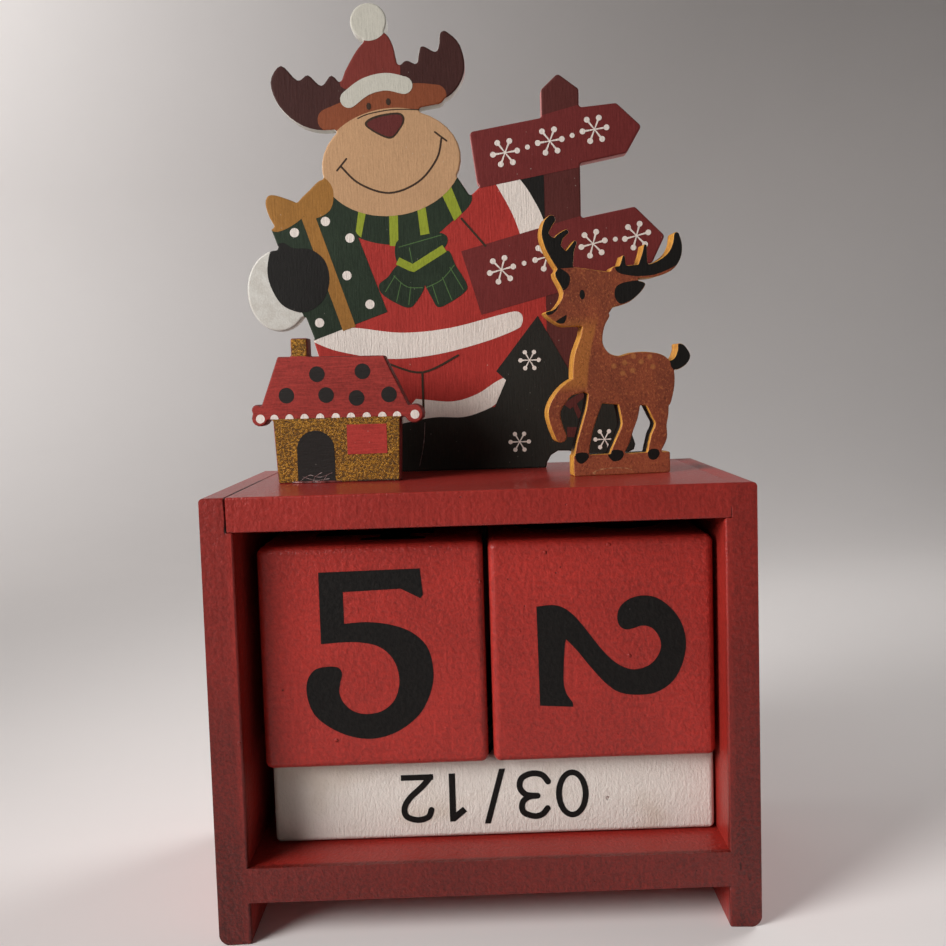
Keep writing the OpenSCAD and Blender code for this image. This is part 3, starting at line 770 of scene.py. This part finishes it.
# Outlines of the cubes' numerals about their middles; two outlines in one list are a shape and its hole
NUMERALS = {
    0: [[ellipse(0, 0.2, 11.2, 14.8, 0, 56), ellipse(0, 0.2, 5.2, 10.6, 0, 48)]],
    1: [[(-7.6, -14.6), (7.6, -14.6), (7.6, -12.2), (3.1, -11), (3.1, 15), (0.2, 15), (-8.2, 10.3), (-7.2, 7.8),
         (-3.1, 9.4), (-3.1, -11), (-7.6, -12.2)]],
    2: [smooth([(-8.1, -11.7), (-8.1, -11.7), (-8.3, -9.1), (-7.9, -7.2), (-6.6, -5.4), (-4.4, -3.5), (-0.2, -0.4),
                (2.3, 2), (3.6, 4.4), (3.7, 6.3), (2.9, 8.4), (1.1, 9.9), (-0.8, 10.3), (-2.5, 9.7), (-3.7, 8.6),
                (-4.1, 7), (-3.7, 5.5), (-3.5, 4.1), (-4.2, 3), (-5.7, 2.6), (-7.5, 3.1), (-8.9, 4.7), (-9.5, 7),
                (-9.1, 9.5), (-7.5, 11.8), (-5.2, 13.6), (-2.4, 14.6), (0.2, 14.7), (3.4, 13.9), (6.2, 12.2),
                (8, 9.4), (8.4, 6.2), (7.9, 2.9), (6.2, 0.4), (3.1, -2.3), (0.1, -4.6), (-2.1, -6.6), (-2.1, -6.6),
                (-0.2, -6.9), (5.1, -7.2), (7.6, -6.8), (9.4, -5.7), (10.2, -5.6), (10.2, -5.6), (9.8, -11.5),
                (9.8, -11.5)])],
    3: [stroke([(-7.4, 9.6, 2.5), (-4.6, 12.6, 1.9), (0.6, 13.3, 1.6), (5.2, 9.2, 2.8), (3.6, 3.8, 2),
                (-1.6, 1.5, 1.3)]),
        stroke([(-1.6, 1.4, 1.3), (4.4, 0.6, 1.8), (7.4, -5.6, 3), (4, -12, 2.1), (-2.6, -13.4, 1.5),
                (-7.6, -9.8, 2.6)])],
    4: [[[(1.4, 15), (6.6, 15), (6.6, -4.6), (10.8, -4.6), (10.8, -8.6), (6.6, -8.6), (6.6, -11.6), (9.6, -12.6),
          (9.6, -14.6), (-2.2, -14.6), (-2.2, -12.6), (1, -11.6), (1, -8.6), (-11.2, -8.6), (-11.2, -5.8)],
         [(1, 7.4), (1, -4.6), (-6.8, -4.6)]]],
    5: [smooth([(-9.1, 15.4), (-9.1, 15.4), (8.8, 15.6), (8.8, 15.6), (9.2, 10.9), (9.2, 10.9), (8.7, 10.3),
                (8.7, 10.3), (5.3, 12.1), (5.3, 12.1), (-4.9, 11.8), (-4.9, 11.8), (-4.9, 6.1), (-4.9, 6.1),
                (-0.9, 6.3), (3.3, 5.7), (7, 4.2), (9.7, 1.4), (10.6, -2.6), (10.2, -6.1), (8.6, -9.7),
                (6.2, -12.2), (2.8, -14.1), (-0.9, -14.8), (-4.6, -14.2), (-8.1, -12.5), (-10.6, -10.3),
                (-11.7, -7.8), (-12, -5.3), (-11.5, -3.3), (-10.2, -1.9), (-8.1, -1.5), (-6.3, -1.7),
                (-5.6, -2.8), (-6, -4.6), (-6.2, -6.3), (-5.4, -8.3), (-3.6, -9.8), (-1.2, -10.3), (1.5, -9.7),
                (3.6, -7.8), (4.5, -4.8), (4.1, -1.8), (2.8, 0.5), (0.7, 2), (-2.3, 2.7), (-5.2, 2.8),
                (-9.1, 2.6), (-9.1, 2.6)])],
    6: [[ellipse(0.2, -5, 10.2, 9.7, 0, 48), ellipse(0.4, -5, 4.6, 6.4, 0, 40)],
        stroke([(-7.4, -5.2, 2.7), (-6.6, 3, 2.8), (-3.2, 9.8, 2.3), (2.2, 13.2, 1.6), (6.4, 11, 2.5)])],
    7: [smooth([(-10, 15), (-10, 15), (10.2, 15), (10.2, 15), (10.2, 11.6), (10.2, 11.6), (3.6, 1.6), (0.9, -6),
                (0.5, -14.6), (0.5, -14.6), (-5.3, -14.6), (-5.3, -14.6), (-4.6, -6), (-0.6, 3.4), (5, 10.4),
                (5, 10.4), (-5.8, 10.4), (-7.4, 9.6), (-8, 7.4), (-8, 7.4), (-10, 7.4), (-10, 7.4)])],
    8: [[ellipse(0, 7.2, 8.4, 7.7, 0, 44), ellipse(0, 7.4, 3.6, 4.6, 0, 36)],
        [ellipse(0, -5.8, 10.2, 8.9, 0, 48), ellipse(0, -5.9, 4.8, 5.4, 0, 40)]],
}
SIDES = {"front": ((0, -1, 0), (0, 0, 1)), "back": ((0, 1, 0), (0, 0, 1)), "left": ((-1, 0, 0), (0, 0, 1)),
         "right": ((1, 0, 0), (0, 0, 1)), "top": ((0, 0, 1), (0, 1, 0)), "bottom": ((0, 0, -1), (0, -1, 0))}


def side_of(node, side, turn=0.0):
    """The frame of one side of a block, in millimetres: across, up and out from its middle."""
    low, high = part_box(node)
    out, up = (Vector(v) for v in SIDES[side])
    middle = (low + high) / 2 + Vector(o * (h - l) / 2 for o, l, h in zip(out, low, high))
    axes = Matrix((up.cross(out), up, out)).transposed().to_4x4()
    return Matrix.Translation(middle) @ axes @ Matrix.Rotation(math.radians(turn), 4, "Z") @ Matrix.Scale(MM, 4)


def make_cube(node, body, numbers):
    """A painted cube with a numeral on each side; numbers gives each side's numeral and turn."""
    painted(node, CUBE_RED)
    for side, (number, turn) in numbers.items():
        show(f"{body}_numeral_{side}", film(NUMERALS[number], NUMERAL_FILM), side_of(node, side, turn),
             NUMERAL_BLACK, body)


# The bars' digits, over their foot line
DIGIT_PITCH, DIGIT_MIDDLE, DIGIT_LINE = 7.1, 4.5, 0.55
SMALL_DIGITS = {
    "0": [[ellipse(0, 4.5, 3.0, 4.5), ellipse(0, 4.5, 1.9, 3.45)]],
    "1": [[[(0.1, 0), (1.25, 0), (1.25, 9), (0.3, 9), (-1.9, 7.2), (-1.2, 6.3), (0.1, 7.3)]]],
    "2": [[pen([(-2.5, 6.7), (-1.9, 8), (0, 8.5), (2, 7.8), (2.4, 6.2), (1.4, 4.4), (-1, 2.2), (-2.5, 0.5)],
               DIGIT_LINE)],
          [[(-3, 0), (2.9, 0), (2.9, 1.05), (-3, 1.05)]]],
    "3": [[pen([(-2.5, 7.1), (-1.5, 8.2), (0, 8.5), (1.9, 7.7), (2.1, 6), (1, 4.9), (-0.7, 4.7)], DIGIT_LINE)],
          [pen([(-0.7, 4.7), (1.4, 4.4), (2.5, 3), (2.1, 1.3), (0.3, 0.5), (-1.6, 0.8), (-2.7, 2.1)], DIGIT_LINE)]],
    "4": [[[(1, 0), (2.1, 0), (2.1, 2), (3.2, 2), (3.2, 3), (2.1, 3), (2.1, 9), (0.9, 9), (-2.9, 3), (-2.9, 2),
            (1, 2)],
           [(1, 3), (1, 7.2), (-1.7, 3)]]],
    "5": [[pen([(-1.9, 4.9), (-0.6, 5.5), (1.2, 5.2), (2.4, 3.8), (2.2, 1.9), (0.8, 0.6), (-1, 0.6), (-2.6, 1.7)],
               DIGIT_LINE)],
          [[(2.4, 9), (-2.2, 9), (-2.6, 4.8), (-1.5, 4.8), (-1.2, 7.9), (2.4, 7.9)]]],
    "6": [[ellipse(0, 2.9, 2.9, 2.9), ellipse(0, 2.9, 1.8, 1.8)],
          [pen([(-2.3, 3), (-2.1, 5.4), (-0.9, 7.6), (1, 8.4), (2.3, 8)], DIGIT_LINE)]],
    "7": [[[(-2.8, 9), (2.8, 9), (2.8, 8), (-0.2, 0), (-1.4, 0), (1.5, 7.9), (-2.8, 7.9)]]],
    "8": [[ellipse(0, 6.7, 2.3, 2.3), ellipse(0, 6.7, 1.2, 1.2)],
          [ellipse(0, 2.5, 2.7, 2.5), ellipse(0, 2.5, 1.6, 1.4)]],
    "9": [[ellipse(0, 6.1, 2.9, 2.9), ellipse(0, 6.1, 1.8, 1.8)],
          [pen([(2.3, 6), (2.1, 3.6), (0.9, 1.4), (-1, 0.6), (-2.3, 1)], DIGIT_LINE)]],
    "/": [[[(-2, -0.6), (-0.9, -0.6), (2, 9.6), (0.9, 9.6)]]],
}


def make_bar(node, body, marks):
    """A white bar with the month's number on each long side; marks gives each side's digits and turn."""
    painted(node, BAR_WHITE)
    for side, (text, turn) in marks.items():
        shapes = []
        for i, digit in enumerate(text):
            shift = DIGIT_PITCH * (i - (len(text) - 1) / 2)
            shapes += [[[(x + shift, y - DIGIT_MIDDLE) for x, y in loop] for loop in shape]
                       for shape in SMALL_DIGITS[digit]]
        show(f"{body}_number_{side}", film(shapes, NUMERAL_FILM), side_of(node, side, turn), NUMERAL_BLACK, body)


def make_frame():
    """The five boards in red paint, and the brads and pins that hold them."""
    for node in ("left_side_panel", "right_side_panel", "top_panel", "bottom_shelf"):
        sawn_board(node, FRAME_EASING)
    sawn_board("back_panel", BACK_EASING)
    for node in ("frame_brads", "back_panel_pins"):
        painted(node, STEEL)


# Cut-outs

THREAD, BEAD_HEIGHT, BEAD_EASING = 0.045, 0.4, 0.16
# The foot of the small fir spreads a little beyond its solid
FIR_SKIRT = [(16, 6), (15.2, 4.2), (15.6, 3.5), (19, 3.4), (21.6, 2.7), (24, 2.4), (31, 2.5), (32.7, 3.3), (33, 4.4),
             (31.4, 9.6), (29.8, 13.2), (24.2, 20), (20, 16)]


def make_reindeer():
    """The printed board: a reindeer in a red coat with a gift, a signpost and two dark firs."""
    board = Board("reindeer_cutout", -6.35, BOARD_WHITE, "printed_ply", 0.35, 52, FIR_SKIRT)
    board.lay("antlers", ANTLER_BROWN, 1,
              [(-42, 90), (-24, 86), (-20, 74), (-30, 66), (-42, 70)],
              [(-16, 80), (-12, 92), (1, 92), (2, 75), (-6, 71), (-14, 73)])
    board.lay("post", POST_MAROON, 1, [(14.6, 2), (23.4, 2), (23.4, 82), (14.6, 82)])
    board.lay("coat", COAT_RED, 2,
              [(-29, 59), (-2, 61.5), (1, 58), (3, 66), (15, 66), (15, 28), (15, -1), (-28, -1), (-31, 14),
               (-35, 28)])
    board.lay("face", FACE_BROWN, 2,
              stroke([(-28.3, 72.4, 2.3), (-22, 74, 3), (-16.5, 75, 3.5), (-11, 76.6, 2.7), (-6.3, 76.8, 2.1)]))
    board.lay("upper_board", SIGN_MAROON, 4,
              [(-0.3, 69.4), (15, 72.2), (22.8, 74.2), (30.6, 75), (36.2, 69.6), (32.6, 63.4), (1.4, 57.8)])
    board.lay("hem_fur", FUR_WHITE, 3,
              smooth([(-33.4, 27.6), (-33.4, 27.6), (-29, 29.4), (-25, 30.2), (-15, 28.9), (-5, 29.6), (5, 31.9),
                      (8.6, 32.6), (10, 31.8), (9.9, 30), (8.5, 28.8), (2, 26.5), (-8, 24.2), (-18, 23.6),
                      (-28, 25.4)]))
    board.lay("boots", TREE_BLACK, 3,
              [(-28, -1), (6, -1), (6, 13), (0, 13), (-8, 12), (-15.5, 11), (-28, 10)])
    board.lay("sleeve_fur", FUR_WHITE, 3,
              smooth([(4.2, 60.6), (4.2, 60.6), (3.8, 63), (3.8, 63), (8.6, 63), (8.6, 63), (9.5, 60.6), (11.8, 57.4),
                      (14, 53.4), (15.2, 50.4), (15.2, 50.4), (15, 46), (15, 46), (11, 45), (11, 45), (8.6, 52.4)]))
    board.lay("right_mitten", MITTEN_BLACK, 2.5, [(8.6, 63), (15.2, 63), (15.2, 49), (11, 56)])
    board.lay("scarf", SCARF_GREEN, 3,
              smooth([(-29.4, 58), (-27.6, 53.4), (-23.6, 48.8), (-16.5, 46.9), (-9, 47.7), (-4, 51.2), (-0.4, 54.2),
                      (0.3, 56.8), (-2, 61), (-8, 60), (-16, 58), (-24, 59)]))
    board.lay("hat", HAT_RED, 3,
              smooth([(-25.6, 79), (-23.8, 84), (-20.8, 88), (-18, 90.4), (-15.6, 89.9), (-14.2, 87), (-13.7, 80),
                      (-19, 78)]))
    board.lay("lower_board", SIGN_MAROON, 4,
              [(-2.2, 45.2), (22, 51.6), (34, 54.2), (40.8, 47.3), (37.6, 41.4), (1.6, 32.1)])
    board.lay("firs", TREE_BLACK, 5,
              [(13.2, 31.6), (4.3, 20.4), (6.3, 18.5), (2, 9), (0, -1), (18.6, -1), (20, 8), (17.8, 14), (20.6, 18)],
              [(21.5, 26), (24.6, 20.6), (30.8, 13.2), (34, 3), (33, 1.6), (14, 1.6)])
    board.lay("post_between_firs", POST_MAROON, 5.5,
              [(18, 13.2), (22.2, 15.8), (23, 14.9), (19.5, 12.1)],
              [(19.9, 13.1), (20.7, 13.5), (21.9, 11), (21.1, 10)],
              [(18.7, 8.4), (20.8, 8.3), (20.8, 6.2), (18.7, 6.3)])
    board.lay("boot_fur", FUR_WHITE, 4,
              smooth([(-16.5, 9.9), (-16.5, 9.9), (-13, 14.6), (-11.4, 15), (-5, 14.4), (0, 15.7), (4, 18.1), (6, 19),
                      (6.6, 18.2), (5.4, 15.6), (4, 13.6), (1, 12.1), (-3, 11.1), (-9, 11.2)]))
    board.lay("scarf_stripes", SCARF_LIME, 4,
              [(-22.7, 55.5), (-21, 55.5), (-22.6, 48.5), (-23.7, 49.6)],
              [(-16.7, 55), (-14.9, 55), (-15, 46.6), (-16.8, 46.7)],
              [(-11.1, 56), (-9.4, 56), (-8.4, 47.6), (-10.3, 47.3)],
              [(-6.6, 58.6), (-4.6, 60.4), (-1.8, 52.9), (-3.4, 51.4)])
    board.lay("scarf_knot", SCARF_GREEN, 4.5,
              smooth([(-15.4, 47.4), (-12, 48.4), (-6, 49), (-5.3, 46.4), (-11, 41.4), (-15.3, 43.2)]),
              smooth([(-15, 42.8), (-17.4, 40.4), (-19.3, 38.8), (-18.6, 36.8), (-15.4, 34.7), (-13.4, 34),
                      (-12, 34.8), (-9.9, 38.4), (-11, 41.8)]),
              smooth([(-11, 41.2), (-8, 43.8), (-4.9, 45.4), (-3.4, 42.4), (-1.2, 38.4), (-2, 36.6), (-5.6, 34.4),
                      (-7.4, 34), (-8.4, 35.6), (-9.7, 38.2)]))
    board.lay("gift", SCARF_GREEN, 4.3, turned_box(-29.6, 42.1, 16.4, 24.6, 19.5))
    board.lay("muzzle", MUZZLE_TAN, 5, ellipse(-15.9, 63.6, 14.5, 10.8, 7, 64))
    board.lay("hat_fur", HAT_WHITE, 5, stroke([(-24.1, 76.4, 1.75), (-20.6, 78.8, 1.75), (-16.5, 79.7, 1.75),
                                               (-12.8, 78.9, 1.75)]), disc(-19.6, 91.8, 3.9, 36))
    board.lay("scarf_band", SCARF_LIME, 5, pen([(-15.3, 43.6), (-12.2, 42), (-12.2, 42), (-5.6, 45.9)], 0.8, False))
    fringe = [[(-15.9, 40.6), (-18, 37.4)], [(-14.8, 39), (-15.8, 35.3)], [(-12.8, 38.2), (-13.3, 34.6)],
              [(-16.2, 40.6), (-13.6, 38.3), (-10.4, 38)], [(-8.3, 38.4), (-7.2, 34.6)], [(-6.2, 40), (-4.4, 35.3)],
              [(-4.6, 42), (-2, 37.4)], [(-9.6, 38), (-6.4, 39.5), (-3.7, 42.4)], [(-14.9, 46.4), (-6.2, 48.6)],
              [(-12.8, 46.2), (-12.3, 43.2)]]
    board.lay("fringe_lines", FRINGE_GREEN, 5, *(pen(line, 0.09) for line in fringe))
    board.lay("ribbon", RIBBON_OCHRE, 5.4, turned_box(-29.55, 41.7, 2.8, 24.6, 18.2),
              smooth([(-33.6, 55.6), (-38.2, 57.6), (-41.6, 58.4), (-42.4, 55.2), (-40.4, 50.2), (-35, 52.4)]),
              smooth([(-35.6, 55.8), (-33, 58.8), (-30.2, 61), (-28, 58.4), (-28.8, 54.2), (-33, 52.6)]))
    spots = [(-36.2, 49.9), (-29.8, 52), (-24.9, 48.5), (-25.8, 40.9), (-21.3, 34.9), (-31.8, 31.4)]
    board.lay("gift_dots", FUR_WHITE, 5, *(disc(x, y, 0.95) for x, y in spots))
    board.lay("left_mitten", MITTEN_BLACK, 6,
              smooth([(-42, 41), (-41.2, 46.4), (-38.8, 47.9), (-36.6, 46.8), (-33, 46.4), (-30.2, 44), (-29.4, 40.2),
                      (-30.6, 36.4), (-33.4, 34), (-36.4, 33.8), (-39.8, 35.8)]))
    board.lay("lines", LINE_BROWN, 6,
              pen([(-22.4, 72.5), (-20, 73.4), (-15, 74.1), (-9, 73.8), (-5, 72.6)], 0.11),
              pen([(-26.2, 63), (-22.5, 59.4), (-16.5, 57.4), (-10.5, 59.5), (-6.6, 64), (-5.5, 68.2)], 0.2),
              pen([(-27, 62.2), (-25, 64.5)], 0.18), pen([(-6.8, 69.4), (-4.5, 67.6)], 0.18),
              ellipse(-20.1, 74.9, 0.45, 0.7), ellipse(-16.1, 75.7, 0.45, 0.7),
              pen([(-1.9, 51.8), (2.8, 46.2)], 0.22),
              pen([(-18, 22.6), (-11, 20.6), (-3.5, 23.9)], 0.22), pen([(-11, 20.6), (-11, 11.5)], 0.22),
              smooth([(-20.9, 71), (-19.2, 72.8), (-14.3, 73.5), (-12.9, 72.3), (-13.8, 70.2), (-16.2, 68.3)]))
    board.lay("nose", NOSE_CHESTNUT, 7,
              smooth([(-20.4, 71), (-18.9, 72.4), (-14.5, 73.1), (-13.3, 72.2), (-14.1, 70.3), (-16.2, 68.7)]))
    board.lay("glue_thread", COTTAGE_GLUE, 6, pen([(-10.8, 10.2), (-11, 7.2), (-11.5, 4.1), (-12.2, 1.2)], THREAD))
    board.lay("snowflakes", FUR_WHITE, 6, snowflake(11.3, 22.5, 1.9), snowflake(8.8, 5.6, 1.9),
              snowflake(26.5, 5.6, 1.9), snowflake(7.4, 64.9, 2.5, 8), snowflake(16.6, 67, 2.5, 8),
              snowflake(25.8, 69.1, 2.5, 8), disc(12, 65.9, 0.5), disc(21.2, 68, 0.5),
              snowflake(6, 41.2, 2.5, 14), snowflake(15.4, 43.6, 2.5, 14), snowflake(25, 46, 2.5, 14),
              snowflake(34, 47.4, 2.5, 14), disc(10.7, 42.4, 0.5), disc(20.2, 44.8, 0.5), disc(29.6, 46.8, 0.5))


def make_cottage():
    """The cottage: glitter walls, a red roof with black dots and a row of snow beads at the eaves."""
    board = Board("cottage_cutout", 0, COTTAGE_EDGE, "cottage_ply", 0.3, 25)
    board.lay("walls", GOLD_GLITTER, 1, [(-14, -1), (14, -1), (14, 12.6), (-14, 12.6)],
              [(-9, 22), (-4, 22), (-4, 29), (-9, 29)])
    board.lay("roof", ROOF_RED, 2, [(-18, 11), (-12.4, 11), (-12.4, 12.4), (12.4, 12.4), (12.4, 10), (18, 10),
                                    (17, 23.6), (-15, 24.4)])
    board.lay("door", DOOR_BLACK, 3, [(-7.8, -1), (-0.6, -1), *half_round(-4.2, 6.4, 3.6, 3.6, 20)])
    board.lay("window", WINDOW_RED, 3, [(1.9, 5.3), (9.5, 5.4), (9.5, 11), (1.9, 11)])
    dots = [(-3.4, 20.7), (5.3, 21), (-9.4, 16.8), (-1.8, 16.7), (4, 16), (10.2, 16.5)]
    board.lay("roof_dots", DOOR_BLACK, 3, *(disc(x, y, 1.5) for x, y in dots))
    beads = [-11.9, -9, -6.1, -3.1, -0.1, 2.8, 5.8, 8.8, 11.6]
    board.lay("eave_beads", FUR_WHITE, 3, *(half_round(x, 12.35, 0.8, 0.9, 12) for x in beads),
              disc(-14.6, 12.5, 0.85), disc(15, 12.6, 0.85))
    threads = [[(-7.4, 0.4), (-5.6, 1.5), (-3.6, 1.1), (-1.2, 1.9)], [(-6.8, 1.2), (-4.4, 0.5), (-1.8, 0.8)],
               [(-4.9, 0.2), (-4.5, 1.2), (-3.2, 2)], [(-3, 0.3), (-2.2, 1.5)]]
    board.lay("glue_threads", COTTAGE_GLUE, 4, *(pen(line, THREAD) for line in threads))
    bead = smooth([(-8.8, 0.1), (-7.4, -0.5), (-5.2, -0.7), (-3, -0.9), (-0.6, -0.5), (0.6, 0.1), (-4, 0.2)])
    lying = board.face @ Matrix.Rotation(math.radians(-90), 4, "X")
    show("cottage_glue_bead", rounded_solid([bead], 0, BEAD_HEIGHT, BEAD_EASING), lying, GLUE_BEAD, "frame",
         BEAD_SMOOTH_ANGLE)


def make_deer():
    """The deer on its foot: speckled brown, with black antlers, ears, tail tip and hooves."""
    board = Board("deer_cutout", 0.2, DEER_EDGE, "deer_ply", 0.2, 35)
    board.lay("coat", DEER_BROWN, 1, [(-20, -1), (20, -1), (20, 52), (-20, 52)])
    board.lay("black_marks", MITTEN_BLACK, 2,
              [(-16, 50), (-6, 50), (-6.6, 39.3), (-9, 39.1), (-12.6, 38.9), (-16, 42)],
              smooth([(-0.4, 38.8), (-0.2, 39.6), (-0.2, 39.6), (0.3, 50), (0.3, 50), (16, 50), (16, 50), (16, 42),
                      (16, 42), (12.6, 40), (10.4, 38.8), (7.2, 37.65), (3.9, 37.4), (1.5, 37.7), (0.2, 38.1)]),
              smooth([(-12.4, 39), (-11, 39), (-9.3, 37.7), (-9.4, 36), (-10.4, 35), (-11.4, 36)]),
              smooth([(-0.6, 33.6), (-0.4, 35.3), (1, 36.2), (4, 36.6), (5.7, 36.3), (5.7, 36.3), (3.8, 33.7),
                      (2.2, 32.8), (0.4, 32.3)]),
              ellipse(-6.9, 34.1, 0.5, 0.9),
              smooth([(-14.6, 31), (-12.6, 32.2), (-11.4, 32.6), (-12, 31.2), (-13.4, 30.4)]),
              smooth([(-12, 29.2), (-10.4, 30.2), (-10, 30.2), (-10.4, 29), (-11.2, 28.8)]),
              [(9.9, 21.6), (10.6, 26), (16, 26), (16, 18.6), (10.9, 19.3), (10.2, 20.2)],
              smooth([(-9, 4.1), (-7.8, 4.5), (-6.6, 4.3), (-6.4, 3.4), (-7.6, 2.4), (-8.6, 2.8)]),
              smooth([(-2.6, 3.9), (-1.6, 4.7), (0, 4.6), (0.5, 3.8), (-0.2, 2.8), (-1.6, 2.6)]),
              smooth([(5.3, 4), (6, 4.6), (7.2, 4.5), (7.6, 3.6), (6.8, 2.6), (5.6, 2.8)]))
    board.lay("glue_trace", DEER_GLUE, 2, pen([(-5.6, 0.5), (-4.6, 1), (-2.2, 1.3), (0.6, 1.2), (2, 0.8)], 0.1),
              disc(-5.3, 0.5, 0.25), disc(-3.9, 1.2, 0.18))


# Stage, in metres

FLOOR_HALF, FLOOR_FRONT, FLOOR_BACK = 1.5, -1.4, 0.30
COVE_RADIUS, BACKDROP_TOP = 0.25, 1.4
# Each lamp's place, what it points at, its size, its spread in degrees and its watts
LAMPS = {"key": ((-0.345, -0.225, 0.26), (0.03, 0, 0.1), 0.24, 70, 0.475),
         "fill": ((0.5, -0.7, 0.3), (0, 0, 0.08), 0.6, 180, 0.12),
         "side": ((0.55, 0.36, 0.36), (0, 0, 0.08), 0.4, 60, 0.45),
         "backdrop": ((-0.62, 0.12, 0.72), (-0.45, 0.55, 0.28), 0.4, 110, 1.75)}
WORLD_STRENGTH = 0.09


def make_stage():
    """A pale floor that rises into a backdrop, a soft lamp at the left, weaker ones at the right, and one on
    the backdrop."""
    bends = (math.radians(9 * k) for k in range(1, 11))
    profile = [(FLOOR_FRONT, 0.0), (FLOOR_BACK, 0.0)]
    profile += [(FLOOR_BACK + COVE_RADIUS * math.sin(a), COVE_RADIUS - COVE_RADIUS * math.cos(a)) for a in bends]
    profile += [(FLOOR_BACK + COVE_RADIUS, BACKDROP_TOP)]
    cove = bmesh.new()
    rows = [[cove.verts.new((x, y, z)) for x in (-FLOOR_HALF, FLOOR_HALF)] for y, z in profile]
    for low, high in zip(rows, rows[1:]):
        cove.faces.new((low[0], low[1], high[1], high[0])).smooth = True
    mesh = as_mesh(cove, "studio_floor")
    mesh.materials.append(studio_paper("studio_paper", paint(238, 232, 229)))
    floor = bpy.data.objects.new("studio_floor", mesh)
    bpy.context.scene.collection.objects.link(floor)
    for name, (spot, target, size, spread, power) in LAMPS.items():
        data = bpy.data.lights.new(name, "AREA")
        data.shape, data.size, data.spread, data.energy = "DISK", size, math.radians(spread), power
        lamp = bpy.data.objects.new(name, data)
        lamp.location = spot
        lamp.rotation_euler = (Vector(target) - Vector(spot)).to_track_quat("-Z", "Y").to_euler()
        bpy.context.scene.collection.objects.link(lamp)
    world = bpy.data.worlds.new("studio")
    world.use_nodes = True
    sky = world.node_tree.nodes["Background"].inputs
    sky["Color"].default_value, sky["Strength"].default_value = (1, 1, 1, 1), WORLD_STRENGTH
    bpy.context.scene.world = world
    bpy.context.scene.view_settings.view_transform = "Standard"


make_camera()
make_stage()
make_frame()
make_cube("left_date_cube", "left_cube", {"front": (5, 0), "back": (0, 0), "left": (1, 0), "right": (3, 0),
                                          "top": (4, 0), "bottom": (2, 0)})
make_cube("right_date_cube", "right_cube", {"front": (2, -90), "back": (7, 0), "left": (0, 0), "right": (6, 0),
                                            "top": (8, 90), "bottom": (1, 0)})
make_bar("front_month_bar", "front_bar", {"front": ("03/12", 180), "back": ("01/12", 0), "top": ("02/12", 0),
                                          "bottom": ("04/12", 0)})
make_bar("middle_month_bar", "middle_bar", {"front": ("05/12", 0), "back": ("07/12", 0), "top": ("06/12", 0),
                                            "bottom": ("08/12", 0)})
make_bar("rear_month_bar", "rear_bar", {"front": ("09/12", 0), "back": ("11/12", 0), "top": ("10/12", 0),
                                        "bottom": ("12/12", 0)})
make_reindeer()
make_cottage()
make_deer()
